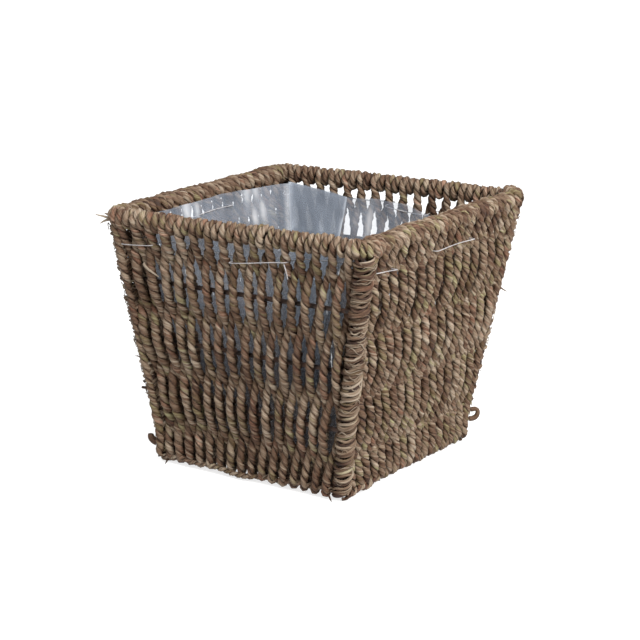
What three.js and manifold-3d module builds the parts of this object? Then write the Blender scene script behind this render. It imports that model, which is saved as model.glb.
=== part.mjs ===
// A square, tapered seagrass basket: one cord per side woven up and down over an iron wire frame,
// a woven base, a cord wrap on each corner post, and a clear film liner held by a running stitch.
// Millimetres, +Z up. The origin is the middle of the footprint, on the surface the basket stands on.
// The front is the -Y side.
import * as THREE from 'three';
import { mergeVertices } from 'three/addons/utils/BufferGeometryUtils.js';
import Module from 'manifold-3d';

// Outer size, over the cord
const TOP_WIDTH = 210;
const BASE_WIDTH = 160;
const HEIGHT = 180;

// Wire frame: diameters, and the bend radius of a ring's corner on its centre line
const RING_WIRE = 3.2;
const RING_COUNT = 5;
const RING_CORNER = 6;
const POST_WIRE = 3.2;
const POST_OVERHANG = 3;
const BASE_WIRE = 2.4;

// Seagrass cord: its diameter, and the share of the room between two passes that it fills
const CORD = 5.8;
const CORD_FILL = 0.78;
const SIDE_PASSES = 31;
const BASE_PASSES = 29;
const BASE_PASS_REACH = 61;
const BASE_WIRE_PASSES = [2, 10, 20, 28];

// Corner wrap: a ridged sleeve of cord round each post
const WRAP_RADIUS = 6.6;
const WRAP_GROOVE = 0.9;
const WRAP_RIDGES = 8;
const WRAP_SIDES = 8;
const WRAP_FOOT = 3.4;
const WRAP_HEAD = 176.6;

// Film liner and the thread that holds it
const LINER_TOP = 168;
const LINER_WALL = 0.8;
const LINER_CORNER = 3;
const LINER_STEPS = 12;
const THREAD = 0.6;
const STITCH_HEIGHT = 159;
const STITCH_CORNER = 6;
// Where each side's two outer stitches come out and go back in, from the side's middle:
// front, right, back, left
const STITCHES = [
  [[-83, -62], [-1, 43]],
  [[-83, -61], [-14, 36]],
  [[-83, -33], [1, 51]],
  [[-83, -19], [31, 70]],
];

// How the hand weaving left the base against the rim: turned about Z, in degrees, and to one side
const BASE_TURN = -2;
const BASE_SHIFT_X = -4.4;
const BASE_SHIFT_Y = -3;

// Room left between pieces that touch, and between a ring and the cord that slants past it
const GAP = 0.3;
const RING_GAP = 0.45;

// Half the straight steps that a rounded corner is made of
const ARC_STEPS = 2;

// How far a pass of cord stands off the ring that it goes round, on its centre line and at its face
const RING_OFFSET = RING_WIRE / 2 + RING_GAP + CORD / 2;
const RING_REACH = RING_OFFSET + CORD / 2;
const BASE_OFFSET = BASE_WIRE / 2 + GAP + CORD / 2;

const BOTTOM_RING_Z = RING_REACH;
const TOP_RING_Z = HEIGHT - RING_REACH;
const BOTTOM_RING_HALF = BASE_WIDTH / 2 - RING_REACH;
const TOP_RING_HALF = TOP_WIDTH / 2 - RING_REACH;

const QUARTER = Math.PI / 2;
const X_AXIS = new THREE.Vector3(1, 0, 0);
const Y_AXIS = new THREE.Vector3(0, 1, 0);
const Z_AXIS = new THREE.Vector3(0, 0, 1);

const wasm = await Module();
wasm.setup();

// Half the width of the wire frame, on its centre line, at a height.
function frameHalf(z) {
  return THREE.MathUtils.mapLinear(z, BOTTOM_RING_Z, TOP_RING_Z, BOTTOM_RING_HALF, TOP_RING_HALF);
}

function ringHeight(level) {
  return THREE.MathUtils.mapLinear(level, 0, RING_COUNT - 1, BOTTOM_RING_Z, TOP_RING_Z);
}

// Half the width that a side's passes spread over, on their centre lines. The last pass stays clear
// of the next side's.
function passReach(z) {
  const clearEdge = frameHalf(z) - RING_REACH - 2 * GAP;
  return clearEdge / (1 + CORD_FILL / (SIDE_PASSES - 1));
}

function passPitch(z) {
  return 2 * passReach(z) / (SIDE_PASSES - 1);
}

// Where a side's pass, or the gap after it for a half number, lies along its side.
function passPlace(pass, z) {
  return pass * passPitch(z) - passReach(z);
}

// A closed body through a row of outlines with as many points each, capped at both ends.
// The points of an outline go anticlockwise seen from the next one.
function loft(outlines) {
  const sides = outlines[0].length;
  const last = (outlines.length - 1) * sides;
  const index = [];
  for (let row = 0; row < last; row += sides) {
    for (let side = 0; side < sides; side += 1) {
      const here = row + side;
      const beside = row + (side + 1) % sides;
      index.push(here, beside, beside + sides);
      index.push(here, beside + sides, here + sides);
    }
  }
  for (let side = 1; side + 1 < sides; side += 1) {
    index.push(0, side + 1, side);
    index.push(last, last + side, last + side + 1);
  }
  const geometry = new THREE.BufferGeometry();
  geometry.setFromPoints(outlines.flat());
  geometry.setIndex(index);
  geometry.computeVertexNormals();
  return geometry;
}

// A cord of rectangular section with mitred bends. Each point has a width of its own along a fixed
// axis, and the cord bends only across that axis.
function cordGeometry(points, widths, widthAxis, thickness) {
  const steps = points.slice(1).map((point, i) => {
    return point.clone().sub(points[i]).projectOnPlane(widthAxis).normalize();
  });
  const outlines = points.map((point, i) => {
    const arriving = steps[Math.max(i - 1, 0)];
    const leaving = steps[Math.min(i, steps.length - 1)];
    const along = arriving.clone().add(leaving).normalize();
    const across = widthAxis.clone().multiplyScalar(widths[i] / 2);
    const normal = along.clone().cross(widthAxis).multiplyScalar(thickness / 2 / along.dot(arriving));
    return [
      point.clone().add(across).add(normal),
      point.clone().sub(across).add(normal),
      point.clone().sub(across).sub(normal),
      point.clone().add(across).sub(normal),
    ];
  });
  return loft(outlines);
}

function roundedSquare(half, corner) {
  const shape = new THREE.Shape();
  const centre = half - corner;
  shape.absarc(centre, centre, corner, 0, QUARTER);
  shape.absarc(-centre, centre, corner, QUARTER, 2 * QUARTER);
  shape.absarc(-centre, -centre, corner, 2 * QUARTER, 3 * QUARTER);
  shape.absarc(centre, -centre, corner, 3 * QUARTER, 4 * QUARTER);
  shape.closePath();
  return shape;
}

// A closed square ring of eight-sided wire, lying round the Z axis.
function ringGeometry(half, wire) {
  const flat = wire / 2 * Math.sin(QUARTER / 4);
  const bevel = wire / 2 * Math.cos(QUARTER / 4) - flat;
  const outline = roundedSquare(half + flat, RING_CORNER + flat);
  outline.holes.push(roundedSquare(half - flat, RING_CORNER - flat));
  const geometry = new THREE.ExtrudeGeometry(outline, {
    depth: 2 * flat,
    bevelThickness: bevel,
    bevelSize: bevel,
    bevelSegments: 1,
    curveSegments: ARC_STEPS,
  });
  return geometry.translate(0, 0, -flat);
}

// The centre line of the post at the +X +Y corner, which stands against the outside of the rings.
function postPoint(z) {
  const bendInset = (Math.SQRT2 - 1) * RING_CORNER;
  const outset = (RING_WIRE / 2 + GAP + POST_WIRE / 2 - bendInset) / Math.SQRT2;
  const place = frameHalf(z) + outset;
  return new THREE.Vector3(place, place, z);
}

// One side's cord, for the front side: it starts under the bottom ring, goes up outside the top
// ring, over it and down inside, under the bottom ring and up again, weaving in and out of the
// rings between.
function sideCordGeometry() {
  const points = [];
  const widths = [];
  const add = (pass, level, out, beyond) => {
    const z = ringHeight(level);
    const y = -(frameHalf(z) + out * RING_OFFSET);
    points.push(new THREE.Vector3(passPlace(pass, z), y, z + beyond));
    widths.push(CORD_FILL * passPitch(z));
  };
  const top = RING_COUNT - 1;
  add(0, 0, -1, 0);
  add(0, 0, -1, -RING_OFFSET);
  for (let pass = 0; pass < SIDE_PASSES; pass += 1) {
    const rising = pass % 2 === 0;
    const firstLevel = rising ? 0 : top;
    const turn = rising ? -RING_OFFSET : RING_OFFSET;
    const topSide = rising ? 1 : -1;
    add(pass, firstLevel, topSide, turn);
    for (let step = 0; step < RING_COUNT; step += 1) {
      const level = Math.abs(firstLevel - step);
      const out = level % 2 === 0 ? topSide : -topSide;
      add(pass, level, out, 0);
    }
    add(pass, top - firstLevel, topSide, -turn);
  }
  add(SIDE_PASSES - 1, top, -1, RING_OFFSET);
  add(SIDE_PASSES - 1, top, -1, 0);
  return cordGeometry(points, widths, X_AXIS, CORD);
}

// Where the base wires lie: each opposite a gap between two inner passes of the side cords.
function baseWirePlaces() {
  return BASE_WIRE_PASSES.map((pass) => passPlace(pass, BOTTOM_RING_Z));
}

// The base's cord: it runs front to back under one wire and over the next, and turns round the
// outermost wires.
function baseCordGeometry() {
  const points = [];
  const pitch = 2 * BASE_PASS_REACH / (BASE_PASSES - 1);
  const wires = baseWirePlaces();
  for (let pass = 0; pass < BASE_PASSES; pass += 1) {
    const x = pass * pitch - BASE_PASS_REACH;
    const forward = pass % 2 === 0 ? 1 : -1;
    const route = forward === 1 ? wires : wires.toReversed();
    const low = BOTTOM_RING_Z - BASE_OFFSET;
    const high = BOTTOM_RING_Z + BASE_OFFSET;
    points.push(new THREE.Vector3(x, route[0] - forward * BASE_OFFSET, low));
    route.forEach((y, i) => points.push(new THREE.Vector3(x, y, i % 2 === 0 ? low : high)));
    points.push(new THREE.Vector3(x, route.at(-1) + forward * BASE_OFFSET, high));
  }
  const widths = points.map(() => CORD_FILL * pitch);
  return cordGeometry(points, widths, X_AXIS, CORD);
}

// The sleeve that a wrap of cord makes round the post at the +X +Y corner, notched where it lies
// over the rings.
function wrapGeometry() {
  const foot = postPoint(WRAP_FOOT);
  const head = postPoint(WRAP_HEAD);
  const length = foot.distanceTo(head);
  const bore = POST_WIRE / 2 + GAP;
  const ridge = length / WRAP_RIDGES;
  const profile = [new THREE.Vector2(bore, 0)];
  for (let turn = 0; turn < WRAP_RIDGES; turn += 1) {
    profile.push(new THREE.Vector2(WRAP_RADIUS - WRAP_GROOVE, turn * ridge));
    profile.push(new THREE.Vector2(WRAP_RADIUS, (turn + 0.5) * ridge));
  }
  profile.push(new THREE.Vector2(WRAP_RADIUS - WRAP_GROOVE, length));
  profile.push(new THREE.Vector2(bore, length));
  profile.push(new THREE.Vector2(bore, 0));
  const sleeve = new THREE.LatheGeometry(profile, WRAP_SIDES, 0);
  sleeve.applyQuaternion(new THREE.Quaternion().setFromUnitVectors(Y_AXIS, direction(foot, head)));
  sleeve.translate(foot.x, foot.y, foot.z);
  let solid = toSolid(sleeve);
  for (let level = 0; level < RING_COUNT; level += 1) {
    const z = ringHeight(level);
    const clearance = ringGeometry(frameHalf(z), RING_WIRE + 2 * GAP).translate(0, 0, z);
    solid = solid.subtract(toSolid(clearance));
  }
  return toGeometry(solid);
}

function direction(from, to) {
  return to.clone().sub(from).normalize();
}

function outlineAt(half, corner, z) {
  const points = roundedSquare(half, corner).getPoints(ARC_STEPS);
  const unique = points.filter((point, i) => i === 0 || point.distanceTo(points[i - 1]) > 1e-6);
  if (unique[0].distanceTo(unique.at(-1)) < 1e-6) {
    unique.pop();
  }
  return unique.map((point) => new THREE.Vector3(point.x, point.y, z));
}

// A liner wall's outlines from one height to another, close enough together to keep its faces
// nearly flat once it is settled.
function wallOutlines(inset, corner, from, to) {
  const outlines = [];
  for (let step = 0; step <= LINER_STEPS; step += 1) {
    const z = THREE.MathUtils.lerp(from, to, step / LINER_STEPS);
    outlines.push(outlineAt(frameHalf(z) - inset, corner, z));
  }
  return outlines;
}

// The liner, settled: an open pouch just inside the cords, with a needle hole where each stitch
// goes through.
function linerGeometry() {
  const outerFloor = BOTTOM_RING_Z + BASE_OFFSET + CORD / 2 + GAP;
  const inset = RING_REACH + GAP;
  const pouch = loft([
    ...wallOutlines(inset, LINER_CORNER + LINER_WALL, outerFloor, LINER_TOP),
    ...wallOutlines(inset + LINER_WALL, LINER_CORNER, LINER_TOP, outerFloor + LINER_WALL),
  ]);
  const needle = threadGeometry(THREAD + 2 * GAP);
  return toGeometry(toSolid(settle(pouch)).subtract(toSolid(settle(needle))));
}

// The stitch that goes round all four sides, through the gaps between passes and through the liner.
function threadGeometry(thickness) {
  const half = frameHalf(STITCH_HEIGHT);
  const outside = half + RING_OFFSET + 2 * GAP;
  const inside = half - RING_REACH - 2 * GAP - LINER_WALL - THREAD / 2;
  const points = [];
  STITCHES.forEach((stitches, side) => {
    const add = (u, out) => {
      const point = new THREE.Vector3(u, -out, STITCH_HEIGHT);
      points.push(point.applyAxisAngle(Z_AXIS, side * QUARTER));
    };
    add(STITCH_CORNER - inside, inside);
    for (const [start, end] of stitches) {
      add(gapNear(start), inside);
      add(gapNear(start), outside);
      add(gapNear(end), outside);
      add(gapNear(end), inside);
    }
    add(inside - STITCH_CORNER, inside);
  });
  return cordGeometry(points, points.map(() => thickness), Z_AXIS, thickness);
}

// The middle of the gap between two passes that is nearest to a place along the side.
function gapNear(u) {
  const pass = Math.floor((u + passReach(STITCH_HEIGHT)) / passPitch(STITCH_HEIGHT));
  return passPlace(pass + 0.5, STITCH_HEIGHT);
}

function toSolid(geometry) {
  const bare = geometry.clone();
  bare.deleteAttribute('normal');
  bare.deleteAttribute('uv');
  const merged = mergeVertices(bare);
  return new wasm.Manifold(new wasm.Mesh({
    numProp: 3,
    vertProperties: merged.attributes.position.array,
    triVerts: new Uint32Array(merged.index.array),
  }));
}

function toGeometry(solid) {
  const { vertProperties, triVerts } = solid.getMesh();
  const geometry = new THREE.BufferGeometry();
  geometry.setAttribute('position', new THREE.BufferAttribute(vertProperties, 3));
  geometry.setIndex(new THREE.BufferAttribute(triVerts, 1));
  geometry.computeVertexNormals();
  return geometry;
}

const group = new THREE.Group();

function addMesh(name, geometry, material) {
  const mesh = new THREE.Mesh(geometry, material);
  mesh.name = name;
  group.add(mesh);
  return mesh;
}

const ironWire = () => new THREE.MeshStandardMaterial({ color: 0x3a2c24, roughness: 0.6, metalness: 0.8 });
const seagrass = () => new THREE.MeshStandardMaterial({ color: 0x7d6750, roughness: 0.85, metalness: 0 });
const film = () => new THREE.MeshStandardMaterial({
  color: 0xaab4bf,
  roughness: 0.2,
  metalness: 0,
  transparent: true,
  opacity: 0.4,
});
const nylon = () => new THREE.MeshStandardMaterial({ color: 0xb9b7b5, roughness: 0.4, metalness: 0 });

function addRings() {
  const names = ['bottom_ring', 'low_ring', 'middle_ring', 'high_ring', 'top_ring'];
  names.forEach((name, level) => {
    const z = ringHeight(level);
    addMesh(name, ringGeometry(frameHalf(z), RING_WIRE), ironWire()).position.z = z;
  });
}

// The base wires run left to right, from bar to bar of the bottom ring.
function addBaseWires() {
  const length = 2 * (BOTTOM_RING_HALF - RING_WIRE / 2 - GAP);
  baseWirePlaces().forEach((y, i) => {
    const geometry = new THREE.CylinderGeometry(BASE_WIRE / 2, BASE_WIRE / 2, length, 8);
    const wire = addMesh(`base_wire_${i + 1}`, geometry, ironWire());
    wire.rotation.z = QUARTER;
    wire.position.set(0, y, BOTTOM_RING_Z);
  });
}

function addPost(name) {
  const foot = postPoint(BOTTOM_RING_Z - POST_OVERHANG);
  const head = postPoint(TOP_RING_Z + POST_OVERHANG);
  const geometry = new THREE.CylinderGeometry(POST_WIRE / 2, POST_WIRE / 2, foot.distanceTo(head), 8);
  const post = addMesh(name, geometry, ironWire());
  post.quaternion.setFromUnitVectors(Y_AXIS, direction(foot, head));
  post.position.copy(foot).add(head).multiplyScalar(0.5);
  return post;
}

// Each corner is the +X +Y one turned round the Z axis.
function addCorners() {
  const corners = ['back_right', 'back_left', 'front_left', 'front_right'];
  corners.forEach((corner, turn) => {
    const pivot = new THREE.Group();
    pivot.rotation.z = turn * QUARTER;
    pivot.add(addPost(`post_${corner}`), addMesh(`wrap_${corner}`, wrapGeometry(), seagrass()));
    group.add(pivot);
  });
}

function addSideCords() {
  ['front', 'right', 'back', 'left'].forEach((side, turn) => {
    addMesh(`cord_${side}`, sideCordGeometry(), seagrass()).rotation.z = turn * QUARTER;
  });
}

// Turns and shifts a body's points about the rim's middle, more the lower they are.
function settle(geometry) {
  const place = geometry.attributes.position;
  const point = new THREE.Vector3();
  for (let i = 0; i < place.count; i += 1) {
    point.fromBufferAttribute(place, i);
    const share = Math.max(TOP_RING_Z - point.z, 0) / TOP_RING_Z;
    point.applyAxisAngle(Z_AXIS, share * THREE.MathUtils.degToRad(BASE_TURN));
    place.setXYZ(i, point.x + share * BASE_SHIFT_X, point.y + share * BASE_SHIFT_Y, point.z);
  }
  geometry.computeVertexNormals();
  return geometry;
}

// Settles every body in the shared frame, and leaves its own place at the origin.
function settleAll() {
  group.updateMatrixWorld();
  const meshes = [];
  group.traverse((item) => item.isMesh && meshes.push(item));
  group.clear();
  for (const mesh of meshes) {
    settle(mesh.geometry.applyMatrix4(mesh.matrixWorld));
    mesh.position.set(0, 0, 0);
    mesh.quaternion.identity();
    group.add(mesh);
  }
}

addRings();
addBaseWires();
addCorners();
addSideCords();
addMesh('cord_base', baseCordGeometry(), seagrass());
addMesh('liner_thread', threadGeometry(THREAD), nylon());
settleAll();
addMesh('liner', linerGeometry(), film());

export default group;
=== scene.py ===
import math

import bpy
import numpy as np
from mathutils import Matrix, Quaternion, Vector


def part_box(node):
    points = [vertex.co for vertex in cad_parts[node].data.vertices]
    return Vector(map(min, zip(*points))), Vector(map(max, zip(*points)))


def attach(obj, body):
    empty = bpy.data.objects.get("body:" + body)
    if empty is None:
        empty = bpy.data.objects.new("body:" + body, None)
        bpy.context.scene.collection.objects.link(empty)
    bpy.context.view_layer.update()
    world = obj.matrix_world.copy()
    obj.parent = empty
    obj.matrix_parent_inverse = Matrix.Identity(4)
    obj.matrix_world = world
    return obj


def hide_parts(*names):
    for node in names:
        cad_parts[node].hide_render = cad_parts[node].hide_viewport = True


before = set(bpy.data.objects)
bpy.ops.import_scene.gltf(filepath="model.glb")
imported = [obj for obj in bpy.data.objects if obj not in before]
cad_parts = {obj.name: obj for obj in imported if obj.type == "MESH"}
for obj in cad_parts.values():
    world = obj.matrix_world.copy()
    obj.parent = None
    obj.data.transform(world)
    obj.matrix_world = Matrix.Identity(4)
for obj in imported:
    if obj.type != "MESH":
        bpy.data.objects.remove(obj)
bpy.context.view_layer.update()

# ---------------------------------------------------------------- sizes, in metres
MM = 0.001
WIRE = 3.2 * MM
BASE_WIRE = 2.4 * MM
RING_CORNER = 6 * MM
CORD = 5.7 * MM
LAY = 12.8 * MM  # a full turn of the two plies round each other
EDGE_CORD = 4.2 * MM  # the thin cords along the bottom edge
EDGE_LAY = 10.5 * MM
# A ply's offset from the cord's middle and its radii away from the middle and round it, as shares of
# the cord's thickness
PLY_OFFSET = 0.235
PLY_DEPTH = 0.265
PLY_WIDTH = 0.335
WEAVE = (WIRE + CORD) / 2
BASE_WEAVE = (BASE_WIRE + CORD) / 2
SIDE_PASSES = 31
BASE_PASSES = 29
BASE_REACH = 62.3 * MM  # from the base's middle to its outer passes
BASE_OVERRUN = 3 * MM  # how far the base cord's turns reach past the outer wires
PASS_EDGE = 7.3 * MM  # from the frame's corner to the last pass
PASS_SWAY = 0.65 * MM  # how far a pass strays from its place, before its side's share
PASS_LEAN = 9 * MM  # below the rim, where a falling pass leans towards the next one
# Corner wraps: loose strands of leaf wound in bands, fuller near the top and at the front corner
WRAP_RADIUS = 4.9 * MM
WRAP_BULGE = 1.2 * MM
WRAP_SWELL = [0.9 * MM, 0.2 * MM, 0.3 * MM, 0]
WRAP_SWELLS = (120 * MM, 148 * MM)  # the heights between which the swell sets in
WRAP_PITCH = 7.7 * MM
WRAP_STRANDS = 6
STRAND_RADIUS = 1.08 * MM
WRAP_GIRTH = [0.84, 0.74, 0.8, 0.68]
WRAP_SHIFT = [(1.4 * MM, 1.0 * MM), (0, 0), (0, 0), (0, 0)]  # off the post, in each corner's own axes
CORNER_TAILS = [4.8 * MM, 9.2 * MM]  # how far in from each corner the ends of the cords lie
# The stitch: its thread's thickness, its height where it isn't seen, how far outside the frame's centre
# line it lies on both sides of the cords, and how far it keeps from a corner
THREAD = 0.6 * MM
STITCH_HEIGHT = 159 * MM
STITCH_OUTSIDE = 6.1 * MM
STITCH_INSIDE = -10.4 * MM
STITCH_CORNER = 17 * MM
FLOOR_GAP = 0.1 * MM  # between the basket and the floor
FIBRE_COUNT = 900
FRAYS_PER_WRAP = 48
# The film: how far inside the frame's centre line it lies, and how much further at the floor; how far
# apart the layers of its fold are, in millimetres; its corners' radius, as a share of its half width
FILM_INSET = 9.0 * MM
FILM_TAPER = 5 * MM
FILM_LAYER = 0.5
FILM_CORNER = 0.11
FILM_STEP = 0.003  # of the way round
FILM_ROWS = 48
FILM_FLOOR = (0.75, 0.45, 0.15, 0.01)  # the shares of the floor's width where it has more rows
FILM_ALPHA = 0.45
GLINT = 0.68  # how white the middle of a glint is
# Crumples in the film that catch the light: side, place along it, height, and size both ways, in millimetres
GLINTS = [
    (3, 35, 167, 4.0, 8), (3, 24, 165, 2.5, 5), (3, -38, 168, 4.5, 7), (3, -49, 168, 3.5, 7),
    (3, -44, 149, 4.0, 7), (3, -55, 152, 3.5, 7), (2, 12.5, 143, 2.5, 14),
]
# Shares of the way round from the middle of the front: a fold of spare film on the back side, the painted
# highlight line beside it, and the painted shade near the front left corner
PLEAT = (0.548, 0.624)
PLEAT_HIGHLIGHT = 0.627
PAINTED_SHADE_FILM = (0.878, 0.945)
# The film's top edge: shares of the way round, and heights in millimetres
FILM_EDGE = [
    (0.0, 169), (0.125, 166), (0.25, 160), (0.375, 147), (0.42, 151), (0.45, 157), (0.47, 161.5),
    (0.5, 163), (0.548, 162), (0.59, 165), (0.62, 168), (0.75, 171), (0.875, 171), (1.0, 169),
]

STEP = 1.5 * MM
PLY_SIDES = 11
WIRE_SIDES = 12

RINGS = ["bottom_ring", "low_ring", "middle_ring", "high_ring", "top_ring"]
SIDES = ["front", "right", "back", "left"]
CORNERS = ["front_right", "back_right", "back_left", "front_left"]
# How far each side's passes stray from their places: the right side is the most uneven
STRAY = [1.5, 2.1, 1.3, 1.3]
# Each side's cord: the front's and back's are thinner than the others'
SIDE_CORD = [5.5 * MM, 5.9 * MM, 5.5 * MM, 6.7 * MM]
SIDE_LAY = [LAY, 11.6 * MM, LAY, LAY]
# How wide each side's last loops, round the rim's corner, stand off it
CORNER_LOOP = [1.0, 1.4, 1.0, 1.0]
# Each side's two outer stitches, in millimetres: from and to along the side, and height at each end
STITCHES = [
    [(-89, -63, 155, 157), (-1, 43, 154, 158)],
    [(-88, -61, 157, 154), (-14, 36, 156, 156)],
    [(-83, -33, 159, 155), (1, 51, 159, 157)],
    [(-83, -19, 161, 162), (31, 70, 161, 160)],
]
# How the base sits against the rim: turned, and to one side
BASE_TURN = math.radians(-2)
BASE_SHIFT = np.array([-4.4 * MM, -3 * MM])

# Where the random numbers of each part start
SIDE_SEED = 11
WRAP_SEED = 31
BASE_SEED = 51
FILM_SEED = 61
FIBRE_SEED = 71

# Floor, light and camera: the lights and the camera face the middle, and angles are in degrees
MIDDLE = Vector((0, 0, 0.09))
FLOOR_HALF = 6.0
FLOOR_GLOW = 0.74  # the floor glows like a light table
CAMERA_AZIMUTH = 33.84
CAMERA_ELEVATION = 14.8
CAMERA_DISTANCE = 1.311
CAMERA_LENS = 107.9
CAMERA_ROLL = -0.516
CAMERA_SHIFT_Y = 0.0083


# ---------------------------------------------------------------- the wire frame's lines
TOP_Z = (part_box("top_ring")[0].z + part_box("top_ring")[1].z) / 2


def base_share(z):
    """How much of the base's turn and shift a height has."""
    return np.clip(TOP_Z - z, 0, None) / TOP_Z


def settled(points):
    """Points of the square, upright basket moved to where its turn and shift put them."""
    share = base_share(points[:, 2])
    c, s = np.cos(share * BASE_TURN), np.sin(share * BASE_TURN)
    x = points[:, 0] * c - points[:, 1] * s + share * BASE_SHIFT[0]
    y = points[:, 0] * s + points[:, 1] * c + share * BASE_SHIFT[1]
    return np.stack([x, y, points[:, 2]], 1)


def ring_size(name):
    """A ring's height and the half width of its centre line, before its turn."""
    low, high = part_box(name)
    wire = high.z - low.z
    z = (low.z + high.z) / 2
    turn = abs(base_share(z) * BASE_TURN)
    bend = RING_CORNER + wire / 2
    outer = ((high.x - low.x) / 2 - bend) / (math.cos(turn) + math.sin(turn)) + bend
    return z, outer - wire / 2


# Each ring's height and half width, from the bottom up
LEVELS = [ring_size(name) for name in RINGS]
BOTTOM_Z, BOTTOM_HALF = LEVELS[0]
TOP_HALF = LEVELS[-1][1]
LEVEL_GAP = (TOP_Z - BOTTOM_Z) / (len(RINGS) - 1)


def frame_half(z):
    return BOTTOM_HALF + (TOP_HALF - BOTTOM_HALF) * (z - BOTTOM_Z) / (TOP_Z - BOTTOM_Z)


def turned(points, quarter):
    """Points of the front side moved to another side: a turn about Z by quarters."""
    angle = quarter * math.pi / 2
    c, s = math.cos(angle), math.sin(angle)
    return points @ np.array([[c, s, 0], [-s, c, 0], [0, 0, 1]])


def on_rail(u, out, z):
    """The front side's points from their place along the ring, distance outside it and height, and the
    ring's direction there. Past the straight, the ring goes round the front right corner."""
    half = frame_half(np.clip(z, BOTTOM_Z, TOP_Z))
    straight = half - RING_CORNER
    bend = np.clip((u - straight) / RING_CORNER, 0, math.pi / 2)
    past = np.maximum(u - straight - RING_CORNER * math.pi / 2, 0)
    reach = RING_CORNER + out
    x = np.minimum(u, straight) + reach * np.sin(bend)
    y = -straight - reach * np.cos(bend) + past
    along = np.stack([np.cos(bend), np.sin(bend), np.zeros_like(bend)], 1)
    return np.stack([x, y, z], 1), along


def pass_reach(z):
    return frame_half(z) - PASS_EDGE


def pass_pitch(z):
    return 2 * pass_reach(z) / (SIDE_PASSES - 1)


def pass_place(number, z):
    return number * pass_pitch(z) - pass_reach(z)


# ---------------------------------------------------------------- numbers and lines
def ramped(values, start, end):
    """0 before the start, 1 past the end, and evenly between them."""
    return np.clip((values - start) / (end - start), 0, 1)


def smooth(share):
    return share * share * (3 - 2 * share)


def wander(rng, count, spacing, columns=1):
    """Random rows that change smoothly over about `spacing` rows, mostly from -1 to 1."""
    knots = rng.standard_normal((int(count / spacing) + 3, columns)).clip(-2, 2) / 1.4
    place = np.arange(count) / spacing
    k = place.astype(int)
    share = smooth((place - k)[:, None])
    return knots[k] * (1 - share) + knots[k + 1] * share


def unit(rows):
    return rows / np.maximum(np.linalg.norm(rows, axis=1, keepdims=True), 1e-12)


def direction(points):
    return unit(np.gradient(points, axis=0))


def squared(rows, heading):
    """The directions nearest to some rows that are square to the heading."""
    return unit(rows - heading * np.sum(rows * heading, 1, keepdims=True))


def softened(rows, reach):
    """A moving average that keeps the ends where they are."""
    padded = np.concatenate([np.repeat(rows[:1], reach, 0), rows, np.repeat(rows[-1:], reach, 0)])
    total = np.cumsum(np.concatenate([np.zeros((1, rows.shape[1])), padded]), axis=0)
    size = 2 * reach + 1
    return (total[size:] - total[:-size]) / size


def travelled(points):
    """The length of a line up to each of its points."""
    return np.concatenate([[0], np.cumsum(np.linalg.norm(np.diff(points, axis=0), axis=1))])


def at_lengths(marks, length, rows):
    return np.stack([np.interp(marks, length, rows[:, i]) for i in range(3)], 1)


def respaced(step, points, *others):
    """The same line with points a step apart, and the other rows at those points."""
    length = travelled(points)
    marks = np.linspace(0, length[-1], max(int(length[-1] / step), 2) + 1)
    return [at_lengths(marks, length, rows) for rows in (points, *others)]


def in_steps(length):
    """A length along a cord as a number of its points."""
    return length / STEP


# ---------------------------------------------------------------- cord routes
def ring_turn(u_from, u_to, z, start, end, reach=1.0):
    """Turns round a ring, from one place along it to another and from one angle to another. The angle is
    0 outside the ring and a quarter turn above it."""
    angle = np.linspace(start, end, int(abs(end - start) * 5) + 2)[1:-1]
    u = np.interp(angle, sorted((start, end)), (u_from, u_to))
    size = WEAVE * reach
    return np.stack([u, size * np.cos(angle), z + size * np.sin(angle)], 1)


def side_pass(number, stray, rng):
    """One pass between the bottom ring and the top ring, in and out of the rings between."""
    heights = np.arange(BOTTOM_Z, TOP_Z, 1.0 * MM)
    weave = np.cos(math.pi * (heights - BOTTOM_Z) / LEVEL_GAP)
    slack = np.sin(math.pi * (heights - BOTTOM_Z) / (TOP_Z - BOTTOM_Z))
    rising = number % 2 == 0
    sway = wander(rng, len(heights), 36)[:, 0] * PASS_SWAY * stray * np.minimum(3 * slack, 1)
    depth = 1 + 0.1 * stray * wander(rng, len(heights), 30)[:, 0] * slack
    u = pass_place(number, heights) + sway
    if not rising:
        u = u + 0.5 * pass_pitch(TOP_Z) * np.exp((heights - TOP_Z) / PASS_LEAN)
    out = WEAVE * weave * depth * (1 if rising else -1)
    section = np.stack([u, out, heights], 1)
    return section if rising else section[::-1]


def side_route(rng, stray, corner_loop):
    """One side's cord, as rows of place along the side, distance outside the ring's centre line, and
    height. It weaves up and down, goes one and a half times round the top ring at each turn there and
    half way round the bottom ring, and ends in loops round the top ring's corner."""
    half, whole = math.pi, 2 * math.pi
    first = pass_place(0, BOTTOM_Z)
    rows = [ring_turn(first, first, BOTTOM_Z, half, whole)]
    for number in range(SIDE_PASSES - 1):
        rows.append(side_pass(number, stray, rng))
        if number % 2 == 0:
            here = pass_place(number, TOP_Z)
            there = here + 1.5 * pass_pitch(TOP_Z)
            reach = max(1 + 0.1 * rng.standard_normal(), 0.92)
            rows.append(ring_turn(here, there, TOP_Z, 0, 1.5 * whole, reach))
        else:
            here, there = pass_place(number, BOTTOM_Z), pass_place(number + 1, BOTTOM_Z)
            rows.append(ring_turn(here, there, BOTTOM_Z, half, whole, 1 + 0.04 * rng.standard_normal()))
    rows.append(side_pass(SIDE_PASSES - 1, stray, rng))
    here = pass_place(SIDE_PASSES - 1, TOP_Z)
    past_corner = 2 * (TOP_HALF - RING_CORNER - here) + RING_CORNER * math.pi / 2
    rows.append(ring_turn(here, here + past_corner - 2 * MM, TOP_Z, 0, 3.5 * whole, corner_loop))
    return softened(np.concatenate(rows), 2)


def side_line(side, rng):
    """A side cord's line, and the direction along its side at each point."""
    u, out, z = side_route(rng, STRAY[side], CORNER_LOOP[side]).T
    points, along = on_rail(u, out, z)
    return turned(points, side), turned(along, side)


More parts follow.
